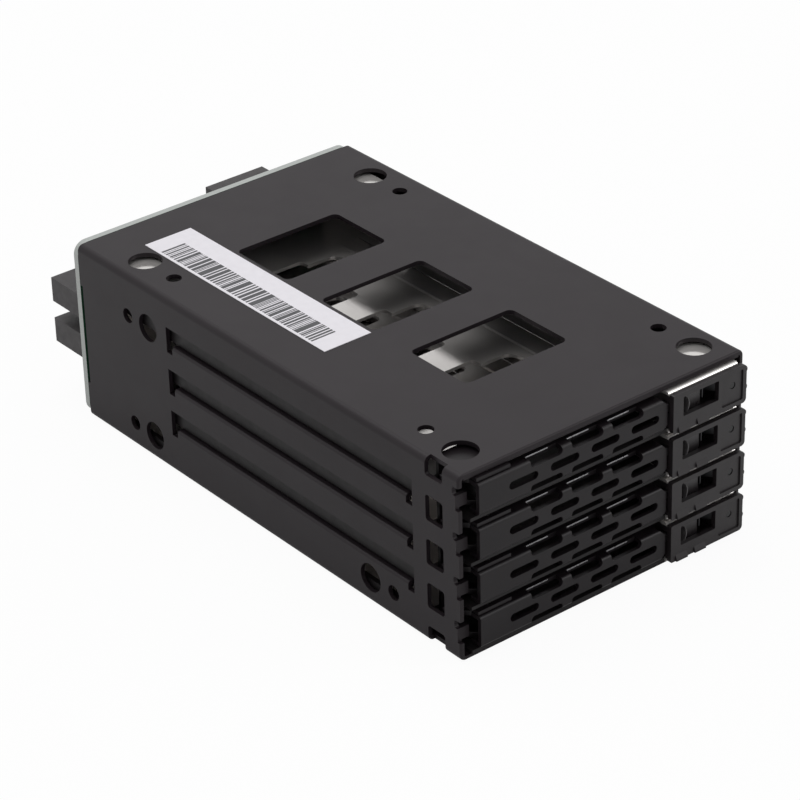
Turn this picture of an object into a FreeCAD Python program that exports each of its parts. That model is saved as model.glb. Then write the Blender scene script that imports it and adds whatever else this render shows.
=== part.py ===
"""Four-bay hot swap cage for 2.5-inch drives.

A folded sheet shell holds four trays on shelves lanced out of its side panels. Each tray is a sheet sled
with a perforated cam lever across its front, and a latch with a sliding button that holds the lever shut.

Frame: X across, Y into the cage, Z up. The origin is the centre of the base screw pattern, on the outside
of the base. Lengths are millimetres. Each size is a cell of the sheet, and every piece is bound to it.
"""
import FreeCAD, Part
import math
import os
import re
import Sketcher
from FreeCAD import Placement, Rotation, Vector

BAYS = 4

SIZES = [
    # folded shell
    ("cage_width", 77.8), ("cage_height", 44.0), ("cage_depth", 132.0),
    ("shell_sheet", 1.0), ("bend_radius", 1.5),
    ("hem_depth", 3.2), ("hem_fold", 0.4), ("hem_radius", 0.5),
    # windows of the top
    ("window_width", 28.0), ("window_length", 18.5), ("window_pitch", 30.3), ("window_first", 27.0),
    ("window_corner", 1.5),
    # screw bores and the larger bores beside them, in the top and base
    ("screw_bore", 3.5), ("access_bore", 7.7), ("bore_inset", 7.1),
    ("screw_row", 18.4), ("row_pitch", 86.6), ("access_offset", 10.85),
    # the same in the side panels
    ("side_bore", 6.6), ("side_low", 6.3), ("side_high", 33.7),
    ("side_front", 21.4), ("side_rear", 113.6), ("side_offset", 7.6),
    # shelf slots of the side panels
    ("slot_front", 14.5), ("slot_rear", 99.0), ("slot_height", 4.4),
    ("relief_length", 2.0), ("relief_drop", 1.9), ("shelf_width", 3.0), ("shelf_bend", 0.7),
    # catch windows and lever stops at the front of the left panel
    ("catch_front", 4.9), ("catch_length", 5.4), ("catch_height", 6.0), ("catch_corner", 0.7),
    ("stop_setback", 0.9), ("stop_height", 2.8), ("stop_reach", 3.0), ("stop_notch", 2.0),
    # backplane
    ("board_thickness", 1.6), ("board_gap", 0.3), ("board_corner", 3.0), ("board_inset", 0.1),
    ("ear_size", 7.0), ("ear_column", 29.0), ("board_bore", 2.7), ("board_screw_head", 2.3),
    ("board_screw_rise", 1.7), ("board_screw_shank", 1.25), ("board_screw_length", 4.0),
    ("panel_relief", 0.8), ("panel_relief_low", 9.0), ("panel_relief_high", 34.0),
    ("socket_width", 42.0), ("socket_height", 5.2), ("socket_depth", 8.0), ("socket_rise", 2.0),
    ("socket_offset", -4.0), ("data_width", 16.4), ("data_height", 5.6), ("data_depth", 8.4),
    ("data_column", 12.0), ("power_width", 21.0), ("power_height", 7.5), ("power_depth", 12.8),
    ("power_column", -26.9), ("power_low", 15.5), ("power_pitch", 10.4), ("power_wall", 1.0),
    ("power_pin", 1.05), ("power_pin_pitch", 5.08), ("power_chamfer", 1.4),
    # label on the top
    ("label_width", 12.5), ("label_length", 65.0), ("label_left", 11.4), ("label_front", 57.0),
    ("label_thickness", 0.1),
    # tray sled
    ("run_gap", 0.3), ("tray_gap", 0.4), ("tray_sheet", 0.8), ("tray_rear", 123.0),
    ("tray_lip", 1.1), ("wall_top", 3.5), ("wall_front", 13.5), ("floor_window", 13.5),
    ("notch_width", 20.0), ("notch_length", 3.6), ("drive_rear", 118.0),
    ("drive_screw_span", 61.72), ("drive_screw_pitch", 76.6), ("drive_screw_first", 14.0),
    ("drive_screw_bore", 3.2), ("drive_thickness", 7.0), ("hold_width", 12.0), ("hold_length", 12.0),
    ("rib_width", 1.5), ("rib_height", 0.2), ("rib_inset", 20.0), ("rib_pitch", 4.2),
    # lever and its pin
    ("pivot_inset", 8.0), ("pivot_depth", 1.0), ("pin_radius", 0.75), ("pin_fit", 0.05),
    ("barrel_radius", 1.7), ("lever_left", 4.2), ("lever_right", 54.9), ("lever_front", -1.5),
    ("lever_sheet", 1.0), ("lever_low", 1.4), ("lever_high", 8.8), ("flange_depth", 3.1),
    ("hole_first", 15.85), ("hole_pitch", 10.95), ("hole_length", 7.6), ("hole_height", 1.9),
    ("cut_first", 21.9), ("cut_pitch", 11.07), ("cut_length", 8.2), ("cut_depth", 1.6),
    ("lever_chamfer", 1.4), ("rib_setback", 1.1), ("rib_sheet", 0.7), ("rib_strip", 1.5),
    ("prong_low", 1.9), ("prong_sheet", 1.2), ("prong_reach", 1.4), ("prong_depth", 6.5),
    ("prong_tip", 0.8), ("lever_swing_gap", 0.6), ("bracket_foot", 5.0),
    # latch housing and its sliding button
    ("latch_left", 55.6), ("latch_right", 76.4), ("latch_front", -2.5), ("latch_wall", 1.2),
    ("latch_depth", 14.5), ("frame_low", 0.4), ("frame_high", 9.8), ("frame_border", 1.0),
    ("frame_recess", 0.4), ("slide_left", 58.4), ("slide_right", 68.4), ("slide_low", 3.8),
    ("slide_high", 8.5), ("lamp_column", 72.7), ("lamp_height", 5.5), ("lamp_radius", 0.8),
    ("cavity_gap", 0.25), ("button_width", 6.4), ("button_travel", 2.6), ("button_depth", 2.4),
    ("grip_rise", 0.6), ("grip_width", 0.9), ("nose_height", 2.0), ("nose_depth", 1.4),
    ("nudge", 0.1), ("foot_width", 3.2), ("foot_pitch", 5.3), ("foot_first", 57.0),
    ("foot_height", 1.1), ("foot_rise", 0.4), ("bead_radius", 0.9), ("bead_rise", 0.6),
    ("spring_strip", 0.3), ("spring_height", 2.4),
    # light pipe
    ("pipe_bar", 1.2), ("pipe_column", 35.8), ("pipe_elbow", 15.2), ("pipe_rear", 120.0),
]

DERIVED = [
    ("front", "-(screw_row + row_pitch / 2)"),
    ("rear", "front + cage_depth"),
    ("left_side", "-cage_width / 2"),
    ("inside", "cage_width / 2 - shell_sheet"),
    ("bay_pitch", "(cage_height - 2 * shell_sheet) / %d" % BAYS),
    ("board_front", "rear + board_gap"),
    ("board_back", "board_front + board_thickness"),
    ("tray_half", "inside - tray_gap"),
    ("floor_top", "run_gap + tray_sheet"),
    ("pivot_column", "left_side + pivot_inset"),
    ("pivot_row", "front + pivot_depth"),
    ("bracket_row", "pivot_row + hypot(pivot_inset - prong_reach; prong_depth - pivot_depth)"
                    " + prong_tip + lever_swing_gap"),
    ("bracket_left", "left_side + stop_reach + 2 * lever_swing_gap"),
    ("bracket_right", "pivot_column + pivot_inset - stop_reach"),
    ("hold_high", "bay_pitch - shell_sheet - tray_gap"),
]

doc = FreeCAD.newDocument("hot_swap_drive_cage")
sheet = doc.addObject("Spreadsheet::Sheet", "Sizes")
doc.recompute()


def bind(text):
    """The same formula with each size named as a cell of the sheet."""
    return re.sub(r"[a-z][a-z_]*(?!\()\b", lambda word: "Sizes." + word.group(0), text)


def fill_sheet():
    for row, (name, value) in enumerate(SIZES, start=1):
        sheet.set("A%d" % row, name)
        sheet.set("B%d" % row, str(value))
        sheet.setAlias("B%d" % row, name)
    doc.recompute()
    for row, (name, formula) in enumerate(DERIVED, start=len(SIZES) + 1):
        sheet.set("A%d" % row, name)
        sheet.set("B%d" % row, "=" + formula)
        sheet.setAlias("B%d" % row, name)
        doc.recompute()


fill_sheet()


def size(text):
    """The present value of a formula."""
    return float(sheet.evalExpression(bind(text)))


# ---- drawing ----

PLANES = {"x": "YZ_Plane", "y": "XZ_Plane", "z": "XY_Plane"}
ORIGIN = -1
START, END, CENTRE = 1, 2, 3


def origin_feature(body, role):
    return next(item for item in body.Origin.OriginFeatures if item.Role == role)


def constrain(sketch, kind, *where, formula=None):
    """Add a constraint, and drive it by a formula if one is given."""
    if formula is None:
        sketch.addConstraint(Sketcher.Constraint(kind, *where))
        return
    index = sketch.addConstraint(Sketcher.Constraint(kind, *where, size(formula)))
    sketch.renameConstraint(index, "c%d" % index)
    sketch.setExpression("Constraints.c%d" % index, bind(formula))


def pin_point(sketch, shape, point, across=None, up=None):
    """Place a point of a shape at a distance from the sketch's origin."""
    if across:
        constrain(sketch, "DistanceX", ORIGIN, START, shape, point, formula=across)
    if up:
        constrain(sketch, "DistanceY", ORIGIN, START, shape, point, formula=up)


def arc(centre, radius, first, last):
    circle = Part.Circle(Vector(centre[0], centre[1], 0), Vector(0, 0, 1), radius)
    return Part.ArcOfCircle(circle, math.radians(first), math.radians(last))


def segment(first, last):
    return Part.LineSegment(Vector(first[0], first[1], 0), Vector(last[0], last[1], 0))


def outline(sketch, points):
    """A closed outline of straight edges, each corner placed by its own pair of formulas."""
    spots = [(size(across), size(up)) for across, up in points]
    edges = [sketch.addGeometry(segment(spots[i], spots[(i + 1) % len(spots)])) for i in range(len(spots))]
    for i, edge in enumerate(edges):
        constrain(sketch, "Coincident", edge, END, edges[(i + 1) % len(edges)], START)
        pin_point(sketch, edge, START, *points[i])


def rectangle(sketch, left, right, low, high, corner=None):
    """A rectangle, with round corners if a radius is given."""
    if corner is None:
        outline(sketch, [(left, low), (right, low), (right, high), (left, high)])
        return
    x0, x1, y0, y1, r = (size(text) for text in (left, right, low, high, corner))
    bottom = sketch.addGeometry(segment((x0 + r, y0), (x1 - r, y0)))
    arcs = [sketch.addGeometry(arc((x1 - r, y0 + r), r, 270, 360))]
    side = sketch.addGeometry(segment((x1, y0 + r), (x1, y1 - r)))
    arcs.append(sketch.addGeometry(arc((x1 - r, y1 - r), r, 0, 90)))
    top = sketch.addGeometry(segment((x1 - r, y1), (x0 + r, y1)))
    arcs.append(sketch.addGeometry(arc((x0 + r, y1 - r), r, 90, 180)))
    other = sketch.addGeometry(segment((x0, y1 - r), (x0, y0 + r)))
    arcs.append(sketch.addGeometry(arc((x0 + r, y0 + r), r, 180, 270)))
    lines = [bottom, side, top, other]
    for i in range(4):
        constrain(sketch, "Tangent", lines[i], END, arcs[i], START)
        constrain(sketch, "Tangent", arcs[i], END, lines[(i + 1) % 4], START)
        constrain(sketch, "Horizontal" if i % 2 == 0 else "Vertical", lines[i])
    for other_arc in arcs[1:]:
        constrain(sketch, "Equal", arcs[0], other_arc)
    constrain(sketch, "Radius", arcs[0], formula=corner)
    pin_point(sketch, bottom, START, up=low)
    pin_point(sketch, side, START, across=right)
    pin_point(sketch, top, START, up=high)
    pin_point(sketch, other, START, across=left)


def obround(sketch, left, right, middle, width):
    """A slot with round ends, along the sketch's first axis."""
    x0, x1, y, r = size(left), size(right), size(middle), size(width) / 2
    bottom = sketch.addGeometry(segment((x0 + r, y - r), (x1 - r, y - r)))
    right_end = sketch.addGeometry(arc((x1 - r, y), r, -90, 90))
    top = sketch.addGeometry(segment((x1 - r, y + r), (x0 + r, y + r)))
    left_end = sketch.addGeometry(arc((x0 + r, y), r, 90, 270))
    ring = [bottom, right_end, top, left_end]
    for i in range(4):
        constrain(sketch, "Tangent", ring[i], END, ring[(i + 1) % 4], START)
    constrain(sketch, "Horizontal", bottom)
    constrain(sketch, "Equal", right_end, left_end)
    constrain(sketch, "Radius", right_end, formula="(%s) / 2" % width)
    pin_point(sketch, right_end, CENTRE, "(%s) - (%s) / 2" % (right, width), middle)
    pin_point(sketch, left_end, CENTRE, "(%s) + (%s) / 2" % (left, width))


def disc(sketch, across, up, radius):
    spot = Vector(size(across), size(up), 0)
    shape = sketch.addGeometry(Part.Circle(spot, Vector(0, 0, 1), size(radius)))
    constrain(sketch, "Radius", shape, formula=radius)
    pin_point(sketch, shape, CENTRE, across, up)


def crescent(sketch, across, low, high, outer, inner):
    """A sickle between two arcs that share their ends and bulge towards +X."""
    x, y0, y1 = size(across), size(low), size(high)
    shapes = []
    for radius in (outer, inner):
        r = size(radius)
        half = math.degrees(math.asin((y1 - y0) / 2 / r))
        centre = (x - r * math.cos(math.radians(half)), (y0 + y1) / 2)
        shapes.append(sketch.addGeometry(arc(centre, r, -half, half)))
    for point in (START, END):
        constrain(sketch, "Coincident", shapes[0], point, shapes[1], point)
    pin_point(sketch, shapes[0], START, across, low)
    pin_point(sketch, shapes[0], END, across, high)
    constrain(sketch, "Radius", shapes[0], formula=outer)
    constrain(sketch, "Radius", shapes[1], formula=inner)


# ---- features ----

def new_body(name):
    body = doc.addObject("PartDesign::Body", name)
    body.Label = name
    return body


def extrude(body, name, axis, low, high, *draws, cut=False):
    """Pad or pocket a sketch along an axis, from low to high. Each draw is (function, its formulas)."""
    sketch = body.newObject("Sketcher::SketchObject", name + "_sketch")
    sketch.AttachmentSupport = [(origin_feature(body, PLANES[axis]), "")]
    sketch.MapMode = "FlatFace"
    start = "-(%s)" % high if axis == "y" else low
    sketch.setExpression("AttachmentOffset.Base.z", bind(start))
    for draw, *formulas in draws:
        draw(sketch, *formulas)
    feature = body.newObject("PartDesign::Pocket" if cut else "PartDesign::Pad", name)
    feature.Profile = sketch
    feature.setExpression("Length", bind("(%s) - (%s)" % (high, low)))
    feature.Reversed = cut
    return feature


def repeat(body, name, features, axis, pitch, count):
    """Copies of features along an axis, the first in place."""
    pattern = body.newObject("PartDesign::LinearPattern", name)
    pattern.Originals = features
    pattern.Direction = (origin_feature(body, axis.upper() + "_Axis"), [""])
    pattern.Occurrences = count
    pattern.setExpression("Length", bind("(%s) * %d" % (pitch, count - 1)))
    body.Tip = pattern
    return pattern


def round_edges(body, name, chosen, radius):
    """Fillet the edges of the body so far that a test picks."""
    doc.recompute()
    base = body.Tip
    edges = ["Edge%d" % i for i, edge in enumerate(base.Shape.Edges, start=1) if chosen(edge)]
    fillet = body.newObject("PartDesign::Fillet", name)
    fillet.Base = (base, edges)
    fillet.setExpression("Radius", bind(radius))
    body.Tip = fillet


def runs_along(edge, axis, **fixed):
    """Whether an edge is straight along an axis, at the given places on the others."""
    box = edge.BoundBox
    spans = {"x": box.XLength, "y": box.YLength, "z": box.ZLength}
    middles = {"x": box.Center.x, "y": box.Center.y, "z": box.Center.z}
    straight = all(span < 1e-6 for name, span in spans.items() if name != axis)
    return straight and all(abs(middles[name] - place) < 1e-4 for name, place in fixed.items())


def rod(name, axis, radius, length, across, along, up):
    """A cylinder from a point, along +Y or +Z."""
    piece = doc.addObject("Part::Cylinder", name)
    piece.setExpression("Radius", bind(radius))
    piece.setExpression("Height", bind(length))
    piece.Placement = Placement(Vector(), Rotation(Vector(0, 0, 1), Vector(0, 1, 0) if axis == "y"
                                                   else Vector(0, 0, 1)))
    for letter, formula in zip("xyz", (across, along, up)):
        piece.setExpression("Placement.Base." + letter, bind(formula))
    return piece


def group(name, pieces):
    """Separate solids that share one node."""
    node = doc.addObject("Part::Compound", name)
    node.Label = name
    node.Links = pieces
    return node


def region(name, *boxes):
    """Boxes joined as one solid. Each is three pairs of formulas, low and high along X, Y and Z."""
    pieces = []
    for i, box in enumerate(boxes):
        piece = doc.addObject("Part::Box", "%s_box_%d" % (name, i))
        for side, letter, (low, high) in zip(("Length", "Width", "Height"), "xyz", box):
            piece.setExpression("Placement.Base." + letter, bind(low))
            piece.setExpression(side, bind("(%s) - (%s)" % (high, low)))
        pieces.append(piece)
    if len(pieces) == 1:
        return pieces[0]
    joined = doc.addObject("Part::MultiFuse", name)
    joined.Shapes = pieces
    return joined


def part_of(name, whole, place, kind="Part::Common"):
    """The piece of a solid within a region, or outside it with Part::Cut."""
    node = doc.addObject(kind, name)
    node.Label = name
    node.Base, node.Tool = whole, place
    return node


# ---- shell ----

def make_shell():
    body = new_body("shell")
    half = "cage_width / 2"
    first_shelf = "shell_sheet + bay_pitch"
    extrude(body, "wrap", "y", "front", "rear",
            (rectangle, "-" + half, half, "0", "cage_height", "bend_radius"),
            (rectangle, "-inside", "inside", "shell_sheet", "cage_height - shell_sheet",
             "bend_radius - shell_sheet"))
    extrude(body, "hem", "y", "front", "front + hem_depth",
            (rectangle, "-inside + hem_radius", "inside - hem_radius",
             "cage_height - shell_sheet - hem_fold", "cage_height - shell_sheet / 2"))
    make_board_ears(body)
    shelf = extrude(body, "shelf", "z", first_shelf + " - shell_sheet", first_shelf,
                    *[(rectangle, *sides, "front + slot_front + relief_length",
                       "front + slot_rear - relief_length") for sides in
                      (("left_side + shell_sheet / 2", "left_side + shell_sheet + shelf_width"),
                       ("-(left_side + shell_sheet + shelf_width)", "-(left_side + shell_sheet / 2)"))])
    repeat(body, "shelves", [shelf], "z", "bay_pitch", BAYS - 1)
    across = ("left_side - nudge", "-left_side + nudge")
    slot = extrude(body, "slot", "x", *across,
                   (rectangle, "front + slot_front", "front + slot_rear",
                    first_shelf, first_shelf + " + slot_height"), cut=True)
    reliefs = extrude(body, "relief", "x", *across,
                      *[(rectangle, *ends, first_shelf + " - relief_drop", first_shelf + " + relief_drop / 4")
                        for ends in (("front + slot_front", "front + slot_front + relief_length"),
                                     ("front + slot_rear - relief_length", "front + slot_rear"))], cut=True)
    repeat(body, "slots", [slot, reliefs], "z", "bay_pitch", BAYS - 1)
    make_catches(body)
    make_bores(body)
    levels = [size(first_shelf) + i * size("bay_pitch") for i in range(BAYS - 1)]
    round_edges(body, "shelf_bends", lambda edge: edge.BoundBox.YLength > size("slot_rear - slot_front") / 2
                and any(runs_along(edge, "y", x=side * size(half), z=level)
                        for side in (-1, 1) for level in levels), "shelf_bend")
    round_edges(body, "hem_roll", lambda edge: runs_along(edge, "x", y=size("front"), z=size("cage_height")),
                "hem_radius")
    return body


def make_board_ears(body):
    """Four ears across the rear, which the backplane is screwed to."""
    columns = ("-ear_column", "ear_column")
    levels = (("shell_sheet / 2", "shell_sheet + ear_size"),
              ("cage_height - shell_sheet - ear_size", "cage_height - shell_sheet / 2"))
    extrude(body, "ears", "y", "rear - shell_sheet", "rear",
            *[(rectangle, column + " - ear_size / 2", column + " + ear_size / 2", *level)
              for column in columns for level in levels])
    extrude(body, "ear_bores", "y", "rear - shell_sheet - nudge", "rear + nudge",
            *[(disc, column, level, "board_bore / 2") for column in columns
              for level in ("shell_sheet + ear_size / 2", "cage_height - shell_sheet - ear_size / 2")],
            cut=True)


def make_catches(body):
    """Windows that the lever prongs reach, and the bent stops that they straddle, in the left panel."""
    skin = ("left_side - nudge", "left_side + shell_sheet + bend_radius / 2")
    window = extrude(body, "catch", "x", *skin,
                     (rectangle, "front + catch_front", "front + catch_front + catch_length",
                      "shell_sheet - catch_height / 2", "shell_sheet + catch_height / 2", "catch_corner"),
                     cut=True)
    repeat(body, "catches", [window], "z", "bay_pitch", BAYS + 1)
    middle = "shell_sheet + bay_pitch / 2"
    low, high = middle + " - stop_height / 2", middle + " + stop_height / 2"
    blank = extrude(body, "stop_blank", "x", "left_side - nudge", "left_side + shell_sheet + nudge",
                    (rectangle, "front - nudge", "front + stop_setback", low + " - stop_setback / 2",
                     high + " + stop_notch"), cut=True)
    notch = extrude(body, "stop_relief", "x", "left_side - nudge", "left_side + shell_sheet + nudge",
                    (rectangle, "front + stop_setback / 2", "front + stop_setback + shell_sheet",
                     high, high + " + stop_notch", "catch_corner"), cut=True)
    repeat(body, "stop_cuts", [blank, notch], "z", "bay_pitch", BAYS)
    stop = extrude(body, "stop", "z", low, high,
                   (rectangle, "left_side", "left_side + stop_reach", "front + stop_setback",
                    "front + stop_setback + shell_sheet"))
    repeat(body, "stops", [stop], "z", "bay_pitch", BAYS)


def make_bores(body):
    """Windows of the top, the screw patterns of top and base, and those of the side panels."""
    window = extrude(body, "window", "z", "cage_height - shell_sheet - nudge", "cage_height + nudge",
                     (rectangle, "-window_width / 2", "window_width / 2", "front + window_first",
                      "front + window_first + window_length", "window_corner"), cut=True)
    repeat(body, "windows", [window], "y", "window_pitch", 3)
    column = "(cage_width / 2 - bore_inset)"
    spots = [(side + column, end + "(row_pitch / 2%s)") for side in "-+" for end in "-+"]
    extrude(body, "flat_bores", "z", "-nudge", "cage_height + nudge",
            *[(disc, across.lstrip("+"), (along % "").lstrip("+"), "screw_bore / 2")
              for across, along in spots],
            *[(disc, across.lstrip("+"), (along % " + access_offset").lstrip("+"), "access_bore / 2")
              for across, along in spots], cut=True)
    pairs = [("side_front", "+", "side_low"), ("side_rear", "-", "side_low"), ("side_rear", "-", "side_high")]
    extrude(body, "side_bores", "x", "left_side - nudge", "-left_side + nudge",
            *[(disc, "front + " + row, level, "screw_bore / 2") for row, sign, level in pairs],
            *[(disc, "front + %s %s side_offset" % (row, sign), level, "side_bore / 2")
              for row, sign, level in pairs], cut=True)
    extrude(body, "panel_relief_cut", "x", "left_side - nudge", "-left_side + nudge",
            (rectangle, "rear - panel_relief", "rear + nudge", "panel_relief_low", "panel_relief_high"),
            cut=True)


def make_panels():
    """The folded shell as its four panels, which meet on the flats beside the bends."""
    shell = make_shell()
    flat = ("-(cage_width / 2 - bend_radius)", "cage_width / 2 - bend_radius")
    within = ("-(inside - shelf_width - nudge)", "inside - shelf_width - nudge")
    along = ("front - nudge", "rear + nudge")
    height = ("-nudge", "cage_height + nudge")
    top = region("top_region", (flat, along, ("cage_height - 2 * shell_sheet", "cage_height + nudge")),
                 (within, along, ("cage_height / 2", "cage_height")))
    base = region("base_region", (flat, along, ("-nudge", "2 * shell_sheet")),
                  (within, along, ("0", "cage_height / 2")))
    flats = doc.addObject("Part::MultiFuse", "flats_region")
    flats.Shapes = [top, base]
    sides = part_of("sides", shell, flats, "Part::Cut")
    left = region("left_region", (("left_side - nudge", "0"), along, height))
    right = region("right_region", (("0", "nudge - left_side"), along, height))
    return [part_of("cage_top", shell, top), part_of("cage_base", shell, base),
            part_of("cage_left_side", sides, left), part_of("cage_right_side", sides, right)]


# ---- backplane ----

def make_board():
    body = new_body("backplane_board")
    half = "(cage_width / 2 - board_inset)"
    extrude(body, "board", "y", "board_front", "board_back",
            (rectangle, "-" + half, half, "board_inset", "cage_height - board_inset", "board_corner"))
    extrude(body, "board_bores", "y", "board_front - nudge", "board_back + nudge",
            *[(disc, column, level, "board_bore / 2") for column in ("-ear_column", "ear_column")
              for level in ("shell_sheet + ear_size / 2", "cage_height - shell_sheet - ear_size / 2")],
            cut=True)
    return body


def make_board_screws():
    screws = []
    for i, column in enumerate(("-ear_column", "ear_column")):
        for j, level in enumerate(("shell_sheet + ear_size / 2", "cage_height - shell_sheet - ear_size / 2")):
            tag = "_%d%d" % (i, j)
            head = rod("screw_head" + tag, "y", "board_screw_head", "board_screw_rise",
                       column, "board_back", level)
            shank = rod("screw_shank" + tag, "y", "board_screw_shank", "board_screw_length + nudge",
                        column, "board_back - board_screw_length", level)
            screw = doc.addObject("Part::MultiFuse", "board_screw" + tag)
            screw.Shapes = [head, shank]
            screws.append(screw)
    return group("backplane_screws", screws)


def make_socket():
    """Drive receptacle: a shroud with the two tongues of the data and power contacts inside."""
    body = new_body("receptacle")
    left, right = "socket_offset - socket_width / 2", "socket_offset + socket_width / 2"
    low = "floor_top + socket_rise"
    extrude(body, "shroud", "y", "board_front - socket_depth", "board_front",
            (rectangle, left, right, low, low + " + socket_height"))
    extrude(body, "mouth", "y", "board_front - socket_depth - nudge", "board_front - socket_depth / 4",
            (rectangle, left + " + shell_sheet", right + " - shell_sheet", low + " + shell_sheet",
             low + " + socket_height - shell_sheet"), cut=True)
    level = low + " + socket_height / 2"
    extrude(body, "tongues", "y", "board_front - socket_depth + shell_sheet", "board_front - socket_depth / 8",
            (rectangle, left + " + 2 * shell_sheet", left + " + socket_width / 3", level,
             level + " + shell_sheet"),
            (rectangle, left + " + socket_width * 0.4", right + " - 2 * shell_sheet", level,
             level + " + shell_sheet"))
    return body


def make_data_header():
    """Data header behind the board: an open box with one flat tongue."""
    body = new_body("data_header")
    left, right = "data_column - data_width / 2", "data_column + data_width / 2"
    low = "bay_pitch / 2 - data_height / 2"
    extrude(body, "data_box", "y", "board_back", "board_back + data_depth",
            (rectangle, left, right, low, low + " + data_height"))
    extrude(body, "data_mouth", "y", "board_back + data_depth / 4", "board_back + data_depth + nudge",
            (rectangle, left + " + shell_sheet", right + " - shell_sheet", low + " + shell_sheet",
             low + " + data_height - shell_sheet"), cut=True)
    extrude(body, "data_tongue", "y", "board_back + data_depth / 8", "board_back + data_depth - shell_sheet",
            (rectangle, left + " + data_width / 6", right + " - data_width / 4",
             low + " + data_height / 2 - shell_sheet / 2", low + " + data_height / 2 + shell_sheet / 2"))
    return body


def power_outline(inset):
    """The D-shaped section of a power header, shrunk by an inset."""
    left = "power_column - power_width / 2 + " + inset
    right = "power_column + power_width / 2 - " + inset
    low = "power_low - power_height / 2 + " + inset
    high = "power_low + power_height / 2 - " + inset
    return [(left + " + power_chamfer", low), (right + " - power_chamfer", low),
            (right, low + " + power_chamfer"), (right, high), (left, high), (left, low + " + power_chamfer")]


def make_power_header():
    body = new_body("power_header")
    extrude(body, "power_box", "y", "board_back", "board_back + power_depth",
            (outline, power_outline("0")))
    extrude(body, "power_mouth", "y", "board_back + 2 * power_wall", "board_back + power_depth + nudge",
            (outline, power_outline("power_wall")), cut=True)
    return body


def make_power_pins():
    pins = []
    for level in range(2):
        for column in range(4):
            pins.append(rod("pin_%d%d" % (level, column), "y", "power_pin",
                            "power_depth - 3 * power_wall", "power_column + (%g) * power_pin_pitch" % (column - 1.5),
                            "board_back + 2 * power_wall", "power_low + %d * power_pitch" % level))
    return group("power_pins", pins)


def make_label():
    body = new_body("asset_label")
    extrude(body, "label", "z", "cage_height", "cage_height + label_thickness",
            (rectangle, "left_side + label_left", "left_side + label_left + label_width",
             "front + label_front", "front + label_front + label_length"))
    return body


# ---- tray, drawn once with its bay's floor at Z = 0 ----

def make_sled():
    body = new_body("sled")
    back = "front + tray_rear"
    extrude(body, "floor", "z", "run_gap", "floor_top",
            (rectangle, "-tray_half", "tray_half", "front - tray_lip", back))
    extrude(body, "walls", "z", "run_gap", "wall_top",
            (rectangle, "-tray_half", "-tray_half + tray_sheet", "front + wall_front", back),
            (rectangle, "tray_half - tray_sheet", "tray_half", "front + wall_front", back))
    pocket = ("front - tray_lip", "front + wall_front")
    extrude(body, "riser", "z", "run_gap", "frame_high",
            (rectangle, "tray_half - tray_sheet", "tray_half", *pocket))
    extrude(body, "roof", "z", "frame_high - tray_sheet", "frame_high",
            (rectangle, "left_side + latch_left", "tray_half", *pocket))
    extrude(body, "pin_bore", "z", "0", "floor_top + nudge",
            (disc, "pivot_column", "pivot_row", "pin_radius + pin_fit"), cut=True)
    ears = (("bracket_left", "bracket_left + hold_width"), ("tray_half - hold_width", "tray_half"))
    extrude(body, "back_wall", "z", "run_gap", "hold_high",
            *[(rectangle, *ear, back + " - tray_sheet", back) for ear in ears])
    extrude(body, "hold_downs", "z", "hold_high - tray_sheet", "hold_high",
            *[(rectangle, *ear, back + " - hold_length", back) for ear in ears])
    make_floor_windows(body)
    screw_rows = ["front + drive_rear - drive_screw_first" + step for step in ("", " - drive_screw_pitch")]
    extrude(body, "drive_bores", "z", "0", "floor_top + nudge",
            *[(disc, side + "drive_screw_span / 2", row, "drive_screw_bore / 2")
              for side in ("-", "") for row in screw_rows], cut=True)
    return body


def make_floor_windows(body):
    """Openings of the floor under the windows of the shell, each with a finger notch, and pressed ribs."""
    edge = "front + window_first + window_length"
    opening = extrude(body, "floor_opening", "z", "0", "floor_top + nudge",
                      (rectangle, "-window_width / 2", "window_width / 2", edge + " - floor_window", edge,
                       "window_corner"), cut=True)
    notch = extrude(body, "floor_notch", "z", "0", "floor_top + nudge",
                    (rectangle, "-window_width / 2", "notch_width - window_width / 2",
                     edge + " - 2 * window_corner", edge + " + notch_length", "window_corner"), cut=True)
    repeat(body, "floor_openings", [opening, notch], "y", "window_pitch", 3)
    inner, outer = "rib_inset", "rib_inset + rib_pitch"
    ends = ("front + wall_front + hold_length", "front + tray_rear - hold_length")
    extrude(body, "ribs", "z", "floor_top - tray_sheet / 2", "floor_top + rib_height",
            *[(rectangle, place, place + " + rib_width", *ends) for place in (inner, outer)],
            *[(rectangle, "-(%s) - rib_width" % place, "-(%s)" % place, *ends) for place in (inner, outer)])


def make_bracket():
    """Hinge bracket: a foot on the floor, a riser clear of the prongs, and the ear over the lever's barrel."""
    body = new_body("bracket")
    sides = ("bracket_left", "bracket_right")
    extrude(body, "riser", "z", "floor_top", "frame_high",
            (rectangle, *sides, "bracket_row", "bracket_row + tray_sheet"))
    extrude(body, "foot", "z", "floor_top", "floor_top + tray_sheet",
            (rectangle, *sides, "bracket_row", "bracket_row + bracket_foot"))
    extrude(body, "ear", "z", "frame_high - tray_sheet", "frame_high",
            (rectangle, *sides, "pivot_row - barrel_radius", "bracket_row + tray_sheet"))
    extrude(body, "pin_bore", "z", "frame_high - 2 * tray_sheet", "frame_high + nudge",
            (disc, "pivot_column", "pivot_row", "pin_radius + pin_fit"), cut=True)
    return body


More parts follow.
